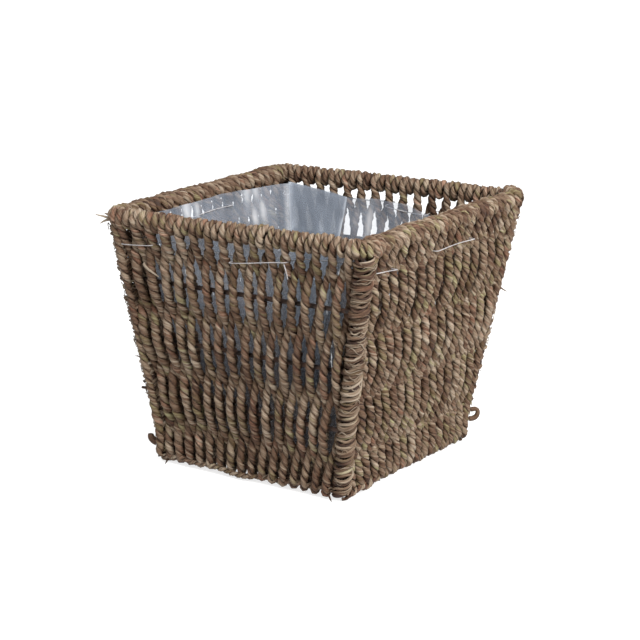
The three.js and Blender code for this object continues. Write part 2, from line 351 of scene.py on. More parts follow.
def corner_line(side, rng, end, inside, out, flare):
    """A line down one end of a side, outside the corner wrap, and its direction. It stands off further at
    the bottom by the flare."""
    z = np.arange(4 * MM, TOP_Z - 2 * MM, 1.0 * MM)
    loose = flare * np.exp(-(z / (17.5 * MM)) ** 2)
    u = end * (frame_half(z) - inside + loose) + 0.5 * MM * wander(rng, len(z), 25)[:, 0]
    reach = frame_half(z) + out + 0.7 * loose + 0.5 * MM * wander(rng, len(z), 20)[:, 0]
    points = np.stack([u, -reach, z], 1)
    return turned(points, side), turned(np.tile([1.0, 0, 0], (len(z), 1)), side)


def edge_line(side, rng, length, lump, tuck):
    """A line along a side's bottom edge from its left end, and its direction. The lump is how much
    further out it lies at that end, and the tuck how far it sinks between the passes past the middle."""
    u = np.arange(-2.5 * MM - BOTTOM_HALF, length - BOTTOM_HALF, 1.0 * MM)
    out = 5.0 * MM + 0.5 * MM * wander(rng, len(u), 9)[:, 0]
    out = out + lump * np.exp(-((u - u[0]) / (16 * MM)) ** 2)
    z = 3.4 * MM + 2.2 * MM * np.clip(wander(rng, len(u), 9)[:, 0] + 0.6, 0, 1)
    sunk = tuck * ramped(u, 2 * MM, 18 * MM)
    points = np.stack([u, -BOTTOM_HALF - out + sunk, z + 0.4 * sunk], 1)
    return turned(points, side), np.tile([0, 0, 1.0], (len(points), 1))


def base_wire_places():
    """Where the base wires lie, front to back, before the base's turn."""
    places = []
    for number in (1, 2, 3, 4):
        low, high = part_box(f"base_wire_{number}")
        x, y, z = (low + high) / 2
        share = base_share(z)
        x, y = x - share * BASE_SHIFT[0], y - share * BASE_SHIFT[1]
        places.append(-x * math.sin(share * BASE_TURN) + y * math.cos(share * BASE_TURN))
    return sorted(places)


def base_line(rng):
    """The base cord's line, front to back and back again over and under the wires, and its direction."""
    wires = base_wire_places()
    pitch = 2 * BASE_REACH / (BASE_PASSES - 1)
    low, high = wires[0] - BASE_OVERRUN, wires[-1] + BASE_OVERRUN
    y = np.arange(low, high, 1.0 * MM)
    phase = np.interp(y, wires, np.arange(len(wires)) * math.pi)
    angle = np.linspace(math.pi / 2, -math.pi / 2, 12)[1:-1]
    rows = []
    for number in range(BASE_PASSES):
        x = number * pitch - BASE_REACH
        forward = 1 if number % 2 == 0 else -1
        sway = wander(rng, len(y), 30)[:, 0] * 0.3 * MM
        lift = BOTTOM_Z - forward * BASE_WEAVE * np.cos(phase)
        section = np.stack([x + sway, y, lift], 1)
        rows.append(section if forward == 1 else section[::-1])
        end = high if forward == 1 else low
        rows.append(np.stack([
            np.linspace(x, x + pitch, len(angle)),
            end + forward * BASE_WEAVE * np.cos(angle),
            BOTTOM_Z + BASE_WEAVE * np.sin(angle),
        ], 1))
    points = softened(np.concatenate(rows[:-1]), 2)
    return points, np.tile([1.0, 0, 0], (len(points), 1))


def corner_place(z):
    """The middle of the wrap at the front right corner."""
    half = frame_half(z) - 0.3 * MM
    return np.stack([half, -half, z], 1)


def wrap_reach(corner, z):
    """How far a wrap's strands lie from the middle of the post."""
    return WRAP_GIRTH[corner] * WRAP_RADIUS + WRAP_SWELL[corner] * smooth(ramped(z, *WRAP_SWELLS))


def round_post(corner, angle, radius, z):
    """Points round a corner's post. The angle is 0 where the post faces away from the basket."""
    facing = angle - math.pi / 4
    ring = np.stack([radius * np.cos(facing), radius * np.sin(facing), 0 * angle], 1)
    return turned(corner_place(z) + ring + [*WRAP_SHIFT[corner], 0], corner)


def tail_line(corner, inward, rng):
    """The line of a cord's end laid down the inside of a corner, and its direction."""
    z = np.arange(9 * MM, TOP_Z - 8 * MM, 2 * MM)
    inward = inward + 0.4 * MM * wander(rng, len(z), 12)[:, 0]
    place = frame_half(z) - inward
    points = turned(np.stack([place, -place, z], 1), corner)
    return points, np.tile([1.0, 0, 0], (len(z), 1))


def wrap_strands(corner, rng):
    """The strands of leaf wound side by side round a corner post, in bands with grooves between."""
    low, high = 1.6 * MM, TOP_Z - 5 * MM
    angle = np.arange(0, (high - low) / WRAP_PITCH * 2 * math.pi, 0.2)
    count = len(angle)
    band = 0.8 * MM * wander(rng, count, 60)[:, 0]
    made = []
    for number in range(WRAP_STRANDS):
        share = (number + 0.5) / WRAP_STRANDS
        bulge = math.sin(math.pi * share)
        lift = (angle / (2 * math.pi) + share - 0.5) * WRAP_PITCH + band
        z = low + lift + 1.3 * MM * wander(rng, count, 7)[:, 0]
        z = np.clip(z - 1.2 * MM * np.cos(angle), low, high)
        loose = 1 + 0.13 * wander(rng, count, 9)[:, 0]
        radius = (wrap_reach(corner, z) + WRAP_BULGE * bulge) * loose
        girth = STRAND_RADIUS * (1 + 0.35 * wander(rng, count, 7)[:, 0])
        # Painted shade: besides their random tone, the strands at a band's edges, down in the grooves, are
        # darker than those in its middle
        tone = 0.22 + 0.3 * bulge + 0.36 * wander(rng, count, 12)
        hue = 0.8 * wander(rng, count, 30)
        line = round_post(corner, angle, radius, z)
        made.append(strand(line, girth, 6, 0.85, tone, hue, 0.75 - 0.7 * bulge))
    return made


# ---------------------------------------------------------------- shells: rows of rings of points
def shell(rings, **fields):
    """A closed tube of shape (rings, points in a ring, 3), with a number for every point in each field."""
    made = {"rings": rings}
    for name, value in fields.items():
        made[name] = np.broadcast_to(value, rings.shape[:2])
    return made


def front_thickness(line):
    """The front's cord is thicker near the left corner."""
    return SIDE_CORD[0] * (1 + 0.2 * ramped(line[:, 0], -36 * MM, -54 * MM))


def back_thickness(line):
    """The back's cord is thicker low down."""
    return SIDE_CORD[2] * (1 + 0.27 * ramped(line[:, 2], 125 * MM, 95 * MM))


def plies(line, reference, rng, thickness=CORD, lay=LAY):
    """The two plies of a cord twisted along a line. The thickness is a number, or a function that gives it
    for every point. The twist starts from the reference direction."""
    line, reference = respaced(STEP, line, reference)
    count = len(line)
    if callable(thickness):
        thickness = thickness(line)[:, None]
    along = direction(line)
    side = squared(reference, along)
    up = np.cross(along, side)
    size = thickness * (1 + 0.05 * wander(rng, count, in_steps(30 * MM)))
    travel = np.arange(count) * STEP
    twist = -2 * math.pi * travel / lay + 0.6 * wander(rng, count, in_steps(25 * MM))[:, 0]
    made = []
    for ply in (0, 1):
        turn = (twist + ply * math.pi)[:, None]
        outward = np.cos(turn) * side + np.sin(turn) * up
        made.append(one_ply(line, outward, turn, size, rng))
    return made


def one_ply(line, outward, turn, size, rng):
    """A ridged bundle of leaf strands that lies on one side of a cord's line, thinner at its ends."""
    count = len(line)
    swell = 1 + 0.12 * wander(rng, count, in_steps(11 * MM))
    centre = line + outward * size * PLY_OFFSET * (1 + 0.12 * wander(rng, count, in_steps(14 * MM)))
    heading = direction(centre)
    out = squared(outward, heading)
    cross = np.cross(heading, out)
    around = np.arange(PLY_SIDES) * 2 * math.pi / PLY_SIDES + 0.45 * turn
    ridges = wander(rng, count, in_steps(9 * MM), PLY_SIDES)
    ends = np.minimum(np.arange(count), np.arange(count)[::-1])[:, None]
    radius = size * swell * (1 + 0.17 * ridges) * np.minimum(0.35 + ends / 4, 1)
    ring = centre[:, None] + radius[..., None] * (
        PLY_DEPTH * np.cos(around)[..., None] * out[:, None]
        + PLY_WIDTH * np.sin(around)[..., None] * cross[:, None]
    )
    tone = 0.5 + 0.22 * wander(rng, count, in_steps(34 * MM)) + 0.12 * ridges
    tone = tone + 0.2 * wander(rng, count, in_steps(8 * MM), PLY_SIDES)
    hue = 0.9 * wander(rng, count, in_steps(26 * MM))
    hue = hue + 0.75 * wander(rng, count, in_steps(12 * MM), PLY_SIDES)
    # The last field is painted shade, strongest on the side of the ply that faces into the cord
    return shell(ring, tone=tone, hue=hue, crease=0.5 - 0.5 * np.cos(around))


def round_rings(line, side, up, radius, sides):
    """Rings of points round a line, each spanned by its two directions."""
    around = np.arange(sides) * 2 * math.pi / sides
    cos, sin = np.cos(around)[None, :, None], np.sin(around)[None, :, None]
    return line[:, None] + radius * (cos * side[:, None] + sin * up[:, None])


def strand(points, radius, sides=6, flat=1.0, tone=0.5, hue=0.0, crease=0.0):
    """A plain tube along a line, thinner in one direction by flat, tapering where radius does."""
    heading = direction(points)
    helper = np.eye(3)[np.argmin(np.abs(heading).max(0))]
    side = unit(np.cross(heading, helper))
    up = np.cross(heading, side)
    radius = np.broadcast_to(radius, (len(points),))[:, None, None]
    return shell(round_rings(points, side, flat * up, radius, sides), tone=tone, hue=hue, crease=crease)


def atlas_size(shells):
    """How many steps of a tube go in a row of the atlas, and how many rows it has."""
    middles = [s["rings"][len(s["rings"]) // 2] for s in shells]
    girth = np.mean([travelled(middle)[-1] for middle in middles])
    reach = np.mean([np.linalg.norm(s["rings"][1, 0] - s["rings"][0, 0]) for s in shells])
    total = sum(len(s["rings"]) for s in shells)
    per_row = max(int(math.sqrt(total * girth / max(reach, 1e-9))), 8)
    return per_row, sum(atlas_rows(s["rings"], per_row) for s in shells)


def atlas_rows(rings, per_row):
    return math.ceil((len(rings) - 1) / per_row)


def tube_faces(rings, row, per_row, rows):
    """A closed tube's faces, the two caps last: the points at their corners, how many corners each has,
    and the Fibre and OFBake maps at the corners. The tube starts at a row of the atlas."""
    count, sides = rings.shape[:2]
    here = np.arange(count * sides).reshape(count, sides)
    i, j = np.arange(count - 1)[:, None], np.arange(sides)[None, :]
    beside = (j + 1) % sides
    quads = np.stack([here[i, j], here[i, beside], here[i + 1, beside], here[i + 1, j]], -1)
    length = travelled(rings.mean(1))
    u = np.stack([j, j + 1, j + 1, j], -1) / sides + 0 * i[..., None]
    along = np.stack([length[i], length[i], length[i + 1], length[i + 1]], -1) + 0 * u
    place = (i % per_row)[..., None] + np.array([0, 0, 1, 1]) + 0 * u
    line = row + (i // per_row)[..., None] + 0.05 + 0.9 * u
    cap = [0.0, (row + 0.5) / rows]
    corners = np.concatenate([quads.reshape(-1), here[0, ::-1], here[-1]])
    sizes = np.concatenate([np.full(quads.size // 4, 4), [sides, sides]])
    fibre = np.concatenate([np.stack([u, along], -1).reshape(-1, 2), np.zeros((2 * sides, 2))])
    atlas = np.stack([place / per_row, line / rows], -1).reshape(-1, 2)
    return corners, sizes, fibre, np.concatenate([atlas, np.tile(cap, (2 * sides, 1))])


def mesh_of(name, shells):
    """One piece of closed tubes, with its fields as attributes, a Fibre UV map that runs round and along
    each tube, and an OFBake UV map of the tubes cut into rows."""
    per_row, rows = atlas_size(shells)
    parts = []
    offset = row = 0
    for s in shells:
        corners, *others = tube_faces(s["rings"], row, per_row, rows)
        parts.append((corners + offset, *others))
        offset += s["rings"].size // 3
        row += atlas_rows(s["rings"], per_row)
    corners, sizes, fibre, atlas = [np.concatenate(part) for part in zip(*parts)]
    points = settled(np.concatenate([s["rings"].reshape(-1, 3) for s in shells]))
    points[:, 2] = np.maximum(points[:, 2], FLOOR_GAP)
    mesh = bpy.data.meshes.new(name)
    mesh.vertices.add(len(points))
    mesh.vertices.foreach_set("co", points.astype(np.float32).ravel())
    mesh.loops.add(len(corners))
    mesh.loops.foreach_set("vertex_index", corners.astype(np.int32))
    mesh.polygons.add(len(sizes))
    mesh.polygons.foreach_set("loop_start", (np.cumsum(sizes) - sizes).astype(np.int32))
    mesh.update(calc_edges=True)
    mesh.polygons.foreach_set("use_smooth", np.ones(len(sizes), bool))
    set_uv(mesh, "OFBake", atlas)
    set_uv(mesh, "Fibre", fibre)
    for field in ("tone", "hue", "crease"):
        set_field(mesh, field, np.concatenate([s[field].ravel() for s in shells]))
    mesh.validate()
    return linked(name, mesh)


def set_uv(mesh, layer, values):
    mesh.uv_layers.new(name=layer).data.foreach_set("uv", values.astype(np.float32).ravel())


def set_field(mesh, field, values):
    data = mesh.attributes.new(field, "FLOAT", "POINT").data
    data.foreach_set("value", values.astype(np.float32).ravel())


def linked(name, data):
    thing = bpy.data.objects.new(name, data)
    bpy.context.collection.objects.link(thing)
    return thing


# ---------------------------------------------------------------- materials
class Nodes:
    """Short calls for building one material's node tree."""

    def __init__(self, name):
        self.material = bpy.data.materials.new(name)
        self.material.use_nodes = True
        self.tree = self.material.node_tree
        self.shader = self.tree.nodes["Principled BSDF"]

    def make(self, kind, inputs=(), **settings):
        node = self.tree.nodes.new(kind)
        for key, value in settings.items():
            setattr(node, key, value)
        for key, value in dict(inputs).items():
            self.put(node.inputs[key], value)
        return node

    def put(self, socket, value):
        if isinstance(value, bpy.types.NodeSocket):
            self.tree.links.new(value, socket)
        else:
            socket.default_value = value

    def math(self, operation, a, b):
        return self.make("ShaderNodeMath", {0: a, 1: b}, operation=operation).outputs[0]

    def attribute(self, name):
        return self.make("ShaderNodeAttribute", attribute_name=name).outputs["Fac"]

    def scaled(self, vector, scale):
        return self.make("ShaderNodeVectorMath", {0: vector, 1: scale}, operation="MULTIPLY").outputs[0]

    def uv(self, layer, scale):
        return self.scaled(self.make("ShaderNodeUVMap", uv_map=layer).outputs[0], scale)

    def place(self):
        return self.make("ShaderNodeTexCoord").outputs["Object"]

    def noise(self, vector, scale, detail=3.0, roughness=0.55):
        inputs = {"Vector": vector, "Scale": scale, "Detail": detail, "Roughness": roughness}
        return self.make("ShaderNodeTexNoise", inputs).outputs["Fac"]

    def ramp(self, factor, stops):
        node = self.make("ShaderNodeValToRGB", {"Fac": factor})
        elements = node.color_ramp.elements
        while len(elements) < len(stops):
            elements.new(0.5)
        for element, (place, colour) in zip(elements, stops):
            element.position = place
            element.color = (*colour, 1)
        return node.outputs["Color"]

    def spread(self, value, low, high, to_low=0.0, to_high=1.0):
        inputs = {"Value": value, 1: low, 2: high, 3: to_low, 4: to_high}
        return self.make("ShaderNodeMapRange", inputs, clamp=True).outputs[0]

    def mix(self, factor, a, b, blend="MIX"):
        node = self.make("ShaderNodeMix", data_type="RGBA", blend_type=blend)
        for socket, value in ((0, factor), (6, a), (7, b)):
            self.put(node.inputs[socket], value)
        return node.outputs[2]

    def tinted(self, colour, tint):
        return self.mix(1.0, colour, (*tint, 1), "MULTIPLY")

    def bump(self, height, strength, distance):
        inputs = {"Height": height, "Strength": strength, "Distance": distance}
        return self.make("ShaderNodeBump", inputs).outputs[0]

    def finish(self, **inputs):
        for key, value in inputs.items():
            self.put(self.shader.inputs[key.replace("_", " ")], value)
        return self.material


def seagrass(name):
    """Dry sea grass: leaf strands that run along the ply, from dark brown to straw, some olive or red."""
    n = Nodes(name)
    streak = n.noise(n.uv("Fibre", (17, 95, 1)), 1.0, 4.0, 0.62)
    fine = n.noise(n.uv("Fibre", (46, 260, 1)), 1.0, 3.0, 0.6)
    patch = n.noise(n.place(), 55.0, 2.0)
    tone = n.math("ADD", n.attribute("tone"), n.spread(streak, 0, 1, -0.925, 0.925))
    tone = n.math("ADD", tone, n.spread(patch, 0, 1, -0.25, 0.25))
    colour = n.ramp(tone, [
        (0.0, (0.018, 0.006, 0.002)),
        (0.25, (0.050, 0.021, 0.008)),
        (0.5, (0.087, 0.053, 0.031)),
        (0.75, (0.147, 0.106, 0.071)),
        (1.0, (0.206, 0.164, 0.121)),
    ])
    hue = n.attribute("hue")
    olive = n.tinted(colour, (0.86, 1.02, 0.68))
    red = n.tinted(colour, (1.32, 0.78, 0.62))
    grey = n.tinted(colour, (0.94, 1.00, 1.06))
    colour = n.mix(n.spread(hue, 0.45, 1.1, 0, 0.8), colour, olive)
    colour = n.mix(n.spread(hue, -0.65, -1.3), colour, red)
    colour = n.mix(n.spread(hue, -0.1, -0.5, 0, 0.5), colour, grey)
    # Painted shade: a darker, redder colour where a ply faces into its cord and in the grooves between a
    # wrap's bands
    shade = n.tinted(colour, (0.35, 0.22, 0.13))
    colour = n.mix(n.spread(n.attribute("crease"), 0.25, 0.85), colour, shade)
    height = n.math("ADD", n.math("MULTIPLY", streak, 0.7), n.math("MULTIPLY", fine, 0.3))
    return n.finish(
        Base_Color=colour,
        Roughness=n.spread(fine, 0.3, 0.7, 0.6, 0.85),
        Specular_IOR_Level=0.3,
        Normal=n.bump(height, 0.9, 0.6 * MM),
    )


def iron(name):
    """Bare iron wire, dark, with patches of rust."""
    n = Nodes(name)
    rust = n.spread(n.noise(n.place(), 160.0, 5.0, 0.65), 0.42, 0.62)
    colour = n.mix(rust, (0.022, 0.017, 0.015, 1), (0.060, 0.026, 0.014, 1))
    return n.finish(
        Base_Color=colour,
        Metallic=n.spread(rust, 0, 1, 0.75, 0.05),
        Roughness=n.spread(rust, 0, 1, 0.42, 0.85),
        Normal=n.bump(n.noise(n.place(), 900.0, 3.0), 0.35, 0.2 * MM),
    )


def film(name):
    """Clear film with a faint milky haze and crumples that run mostly up and down."""
    n = Nodes(name)
    creases = n.noise(n.scaled(n.place(), (1, 1, 0.3)), 52.0, 1.0, 0.5)
    haze = n.noise(n.place(), 38.0, 3.0)
    colour = n.ramp(haze, [(0.3, (0.158, 0.18, 0.217)), (0.7, (0.25, 0.28, 0.33))])
    # Painted shade: near black low down and near the front left corner
    colour = n.mix(n.attribute("depth"), colour, (0.02, 0.018, 0.02, 1))
    # Painted highlights: near white along the fold's edges, beside the pleat, and at the glints
    colour = n.mix(n.attribute("fold"), colour, (0.85, 0.88, 0.92, 1))
    return n.finish(
        Base_Color=colour,
        Roughness=n.spread(haze, 0.3, 0.7, 0.24, 0.42),
        Alpha=FILM_ALPHA,
        Normal=n.bump(creases, 0.55, 1.6 * MM),
    )


def nylon(name):
    """Pale, slightly see-through monofilament."""
    n = Nodes(name)
    shade = n.noise(n.place(), 260.0, 2.0)
    colour = n.ramp(shade, [(0.3, (0.16, 0.152, 0.155)), (0.7, (0.32, 0.305, 0.305))])
    return n.finish(Base_Color=colour, Roughness=n.spread(shade, 0.3, 0.7, 0.25, 0.45))


# ---------------------------------------------------------------- pieces
def add_piece(thing, slot, material, *nodes):
    thing.data.materials.append(material)
    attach(thing, "root")
    if nodes:
        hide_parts(*nodes)
    return thing


def square_corner(half, corner, steps):
    """The rounded front right corner of a square, from front to right."""
    straight = half - corner
    bend = np.linspace(0, math.pi / 2, steps)
    return np.stack([straight + corner * np.sin(bend), -straight - corner * np.cos(bend), 0 * bend], 1)


def square_loop(corner):
    return np.concatenate([turned(corner, quarter) for quarter in range(4)])


def square_wire(half, z):
    """A closed square ring of round wire, as rings of points."""
    loop = square_loop(square_corner(half, RING_CORNER, 9) + [0, 0, z])
    heading = unit(np.roll(loop, -1, 0) - np.roll(loop, 1, 0))
    up = np.tile([0, 0, 1.0], (len(loop), 1))
    return round_rings(loop, np.cross(heading, up), up, WIRE / 2, WIRE_SIDES)


def smooth_mesh(name, points, faces):
    mesh = bpy.data.meshes.new(name)
    mesh.from_pydata(points.tolist(), [], faces)
    mesh.polygons.foreach_set("use_smooth", [True] * len(faces))
    mesh.update()
    return mesh


def grid_faces(rows, columns, count):
    """The faces between so many rows of a grid of points whose columns close on themselves."""
    i, j = np.meshgrid(np.arange(count), np.arange(columns), indexing="ij")
    above, beside = (i + 1) % rows, (j + 1) % columns
    corners = [i * columns + j, i * columns + beside, above * columns + beside, above * columns + j]
    return np.stack(corners, -1).reshape(-1, 4).tolist()


def ring_mesh(name, rings):
    """A closed loop of rings of points."""
    count, sides = rings.shape[:2]
    return linked(name, smooth_mesh(name, settled(rings.reshape(-1, 3)), grid_faces(count, sides, count)))


def add_wires(material):
    """The rings, remade round, and the finish of the posts and the base wires."""
    for name, (z, half) in zip(RINGS, LEVELS):
        add_piece(ring_mesh(f"wire_{name}", square_wire(half, z)), "iron_wire", material, name)
    for name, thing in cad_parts.items():
        if name.startswith(("post_", "base_wire_")):
            thing.data.materials.clear()
            thing.data.materials.append(material)


def film_path(place):
    """Points of a rounded square of half width 1 at shares of the way round it, from the middle of the
    front."""
    start = np.array([[0.0, -1.0, 0]])
    loop = np.concatenate([start, square_loop(square_corner(1.0, FILM_CORNER, 7)), start])
    length = travelled(loop)
    return at_lengths(place * length[-1], length, loop)


def crumple(rng, rows, columns, row_spacing, column_spacing):
    """A sheet of smooth random numbers, rows by columns."""
    knots = wander(rng, columns, column_spacing, int(rows / row_spacing) + 3)
    place = np.arange(rows) / row_spacing
    k = place.astype(int)
    share = smooth(place - k)
    return (knots[:, k] * (1 - share) + knots[:, k + 1] * share).T


def film_columns():
    """Each column's place round the pouch, its layer in the fold of spare film, and whether it belongs to
    the fold, which goes back, forth and back again."""
    start, end = PLEAT
    out = np.arange(0, end, FILM_STEP)
    back = np.arange(end, start, -FILM_STEP)
    on = np.arange(start, 1, FILM_STEP)
    parts = [out, back, back[::-1], back, on]
    place = np.concatenate(parts)
    layer = np.repeat(np.arange(5.0), [len(part) for part in parts])
    layer = softened(layer[:, None], 2)[:, 0]
    outermost = (layer > 3.5) & (place > end)
    layer = np.where(outermost, layer * (1 - ramped(place, end + 0.02, end + 0.07)), layer)
    gathered = np.concatenate([np.zeros(len(out), bool), np.ones(3 * len(back), bool), on < end])
    return place, layer, gathered


def film_glints(place, z):
    """How white the film is where its crumples catch the light."""
    total = 0 * z
    for side, along, height, wide, tall in GLINTS:
        quarter = (place[None] * 4 - side + 0.5) % 4 - 0.5
        u = quarter * 2 * (frame_half(z) - FILM_INSET)
        total = total + GLINT * np.exp(-((u / MM - along) / wide) ** 2 - ((z / MM - height) / tall) ** 2)
    return total


def film_edge(place, rng):
    """The height of the film's slack top edge."""
    from_start = np.minimum(place, 1 - place)
    edge = np.interp(place, *np.array(FILM_EDGE).T) * MM
    return edge + 0.9 * MM * wander(rng, len(place), 10)[:, 0] * np.minimum(1, 30 * from_start)


def film_grid(place, layer, gathered, rng):
    """The pouch's points, in rows from the middle of the floor to the top edge. The walls crumple
    inwards from the cords, more so near the top, and less in the fold."""
    floor_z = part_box("liner")[0].z
    edge = film_edge(place, rng)
    size = FILM_ROWS, len(place)
    folds = np.abs(crumple(rng, *size, 18, 11)) + 0.5 * np.abs(crumple(rng, *size, 7, 5))
    folds = folds * np.minimum(1, 25 * np.minimum(place, 1 - place)) * (1 - 0.7 * (layer > 0.2))
    ripple = crumple(rng, *size, 5, 3.5)
    grid = []
    for row in range(FILM_ROWS):
        share = row / (FILM_ROWS - 1)
        z = floor_z + (edge - floor_z) * share
        narrowed = PLEAT[1] - (PLEAT[1] - place) * (0.45 + 0.55 * share)
        points = film_path(np.where(gathered, narrowed, place))
        half = frame_half(z) - FILM_INSET - FILM_TAPER * (1 - share) ** 2
        away = (1.3 + 1.7 * share) * folds[row] + 0.25 * ripple[row] + 0.25
        inset = layer * FILM_LAYER + away * min(4 * share, 1)
        reach = half - np.clip(inset, 0, None) * MM
        grid.append(np.stack([points[:, 0] * reach, points[:, 1] * reach, z], 1))
    rim = grid[0]
    for share in FILM_FLOOR:
        grid.insert(0, rim * [share, share, 1] + [0, 0, 0.3 * MM])
    return np.array(grid)


def film_painted_highlights(place, z, rng):
    """Painted highlights: how white each point is along the fold's edges, in the upper part, and at the
    glints.
    """
    turns = np.abs(np.gradient(np.gradient(place))) * (np.abs(place - 0.5) < 0.3)
    edges = np.minimum(0.8 * turns / FILM_STEP, 0.8)
    edges = edges + 0.55 * np.exp(-((place - PLEAT_HIGHLIGHT) / 0.0022) ** 2)
    sharp = softened(crumple(rng, *z.shape, 14, 30), 2)
    fold = edges[None] * (0.8 + 0.5 * sharp) * ramped(z, 105 * MM, 140 * MM)
    return np.clip(fold + film_glints(place, z), 0, 1)


def film_painted_shade(place, z):
    """Painted shade: how dark each point is low down, and near the front left corner."""
    start, end = PAINTED_SHADE_FILM
    corner = np.clip((end - place) / 0.02, 0, 0.9) * (place > start)
    return np.maximum(ramped(z, 110 * MM, 0), corner[None])


def liner_piece(rng, material):
    """The film pouch: four loose walls, with a fold of spare film at the back, and a floor."""
    place, layer, gathered = film_columns()
    grid = film_grid(place, layer, gathered, rng)
    z = grid[..., 2]
    thing = sheet_mesh("film_liner", settled(grid.reshape(-1, 3)), *z.shape)
    # The fold field is painted highlights
    set_field(thing.data, "fold", film_painted_highlights(place, z, rng))
    # The depth field is painted shade
    set_field(thing.data, "depth", film_painted_shade(place, z))
    return add_piece(thing, "film", material, "liner")


def sheet_mesh(name, points, rows, columns):
    """An open sheet whose rows close on themselves, with its first row filled in."""
    faces = grid_faces(rows, columns, rows - 1) + [list(range(columns))[::-1]]
    mesh = smooth_mesh(name, points, faces)
    i, j = np.meshgrid(np.arange(rows - 1), np.arange(columns), indexing="ij")
    across = np.stack([j, j + 1, j + 1, j], -1) / columns
    up = np.stack([i, i, i + 1, i + 1], -1) / rows
    places = np.stack([across, up], -1).reshape(-1, 2)
    set_uv(mesh, "OFBake", np.concatenate([places, np.zeros((columns, 2))]))
    return linked(name, mesh)


def stitch_line():
    """The running stitch, through the gaps between passes and through the film, all the way round."""
    half = frame_half(STITCH_HEIGHT)
    rows = []
    for side, stitches in enumerate(STITCHES):
        marks = [(STITCH_CORNER - half, STITCH_INSIDE, STITCH_HEIGHT)]
        for start, end, low, high in np.array(stitches) * MM:
            marks += [(start, STITCH_INSIDE, low), (start, STITCH_OUTSIDE, low)]
            marks += [(end, STITCH_OUTSIDE, high), (end, STITCH_INSIDE, high)]
        marks.append((half - STITCH_CORNER, STITCH_INSIDE, STITCH_HEIGHT))
        rows.append(turned(np.array([(u, -(half + out), z) for u, out, z in marks]), side))
    points = softened(respaced(1 * MM, np.concatenate(rows))[0], 2)
    travel = np.arange(len(points))
    points[:, 2] += np.sin(travel * 0.11) * 0.35 * MM + np.sin(travel * 0.037) * 0.6 * MM
    return points


def thread_piece(material):
    """The stitch, and its loose end on the front."""
    tail = np.array([(42, 6.0, 158), (43.5, 7.0, 156.5), (45, 7.0, 153), (46, 6.4, 148)]) * MM
    tail[:, 1] = -tail[:, 1] - frame_half(STITCH_HEIGHT)
    tail = softened(respaced(1 * MM, tail)[0], 2)
    shells = [strand(line, THREAD / 2, 8) for line in (stitch_line(), tail)]
    return add_piece(mesh_of("stitch_thread", shells), "thread", material, "liner_thread")


# ---------------------------------------------------------------- loose fibres
def blade(side, points, width, flat, tone, taper=0.75):
    """A loose leaf blade through a few points, thinner towards its end. A point is its place along the
    side, its distance outside the frame, and its height, in millimetres."""
    u, out, z = np.array(points).T * MM
    line = turned(np.stack([u, -frame_half(z) - out, z], 1), side)
    line = softened(respaced(0.7 * MM, line)[0], 3)
    share = np.linspace(0, 1, len(line))
    return strand(line, width * MM / 2 * (1 - taper * share ** 2), 6, flat, tone, 0.2)


def wrap_frays(corner, rng):
    """Thin strands that lie loosely over the corner wrap, bowing up and down."""
    made = []
    for _ in range(FRAYS_PER_WRAP):
        z = rng.uniform(14, 168) * MM
        start = rng.uniform(-1.3, 0.6)
        angle = np.linspace(start, start + rng.uniform(0.9, 2.2), 14)
        reach = wrap_reach(corner, z) + WRAP_BULGE + STRAND_RADIUS + rng.uniform(-0.4, 0.5) * MM
        bow = np.sin(np.linspace(0, math.pi * rng.uniform(1, 2), 14)) * rng.uniform(-2.6, 2.2) * MM
        height = z + bow + np.linspace(0, rng.uniform(-2, 2), 14) * MM
        line = round_post(corner, angle, reach, height)
        radius = rng.uniform(0.28, 0.5) * MM * np.sin(np.linspace(0.5, math.pi - 0.3, 14))
        made.append(strand(line, radius, 6, 0.55, rng.uniform(0.65, 1.05), rng.uniform(-0.6, 0.6)))
    return made


def stray_blades():
    """The loose ends that stand out: at the rim's left corner, on the front, and down both edges."""
    knob = [(-76, 4, 13), (-79.5, 5.5, 15), (-80.8, 5.8, 17.5), (-80.4, 5.6, 19.5)]
    loop = [(76, 5, 17), (79.5, 8.5, 17.5), (80.6, 9.6, 21), (79.5, 8.8, 24.5), (76, 5, 24)]
    return [
        blade(0, [(-97, 0, 170), (-104, 3, 172.5), (-109, 5.8, 173.8)], 2.6, 0.7, 0.95),
        blade(0, [(-97, 0, 172), (-104, 2.4, 174.8)], 2.8, 0.7, 0.6),
        blade(0, [(-97, 0, 171), (-104, 2.5, 169.5), (-107, 4.3, 167.0)], 2.1, 0.7, 0.9),
        blade(0, [(-71.5, 6, 144.5), (-68, 7.8, 142), (-58.5, 6.2, 136)], 2.2, 0.4, 1.0),
        blade(1, [(85, 3, 113), (91, 6, 109), (94.5, 8, 106.5)], 1.6, 0.7, 0.35),
        blade(0, [(-81, 1, 74.5), (-89, 4.8, 75.5)], 1.3, 0.7, 0.3),
        blade(0, [(-78, 1, 52), (-85.5, 4.9, 53)], 2.8, 0.8, 0.05, 0.3),
        blade(0, knob, 6.4, 0.8, 0.16, 0.3),
        blade(1, loop, 3.8, 0.8, 0.3, 0.1),
        blade(0, [(-68, 3.5, 3), (-64.6, 12, 1)], 1.6, 0.7, 0.1),
        blade(0, [(66, 3.8, 4), (72.6, 9.4, 1)], 1.6, 0.7, 0.2),
    ]


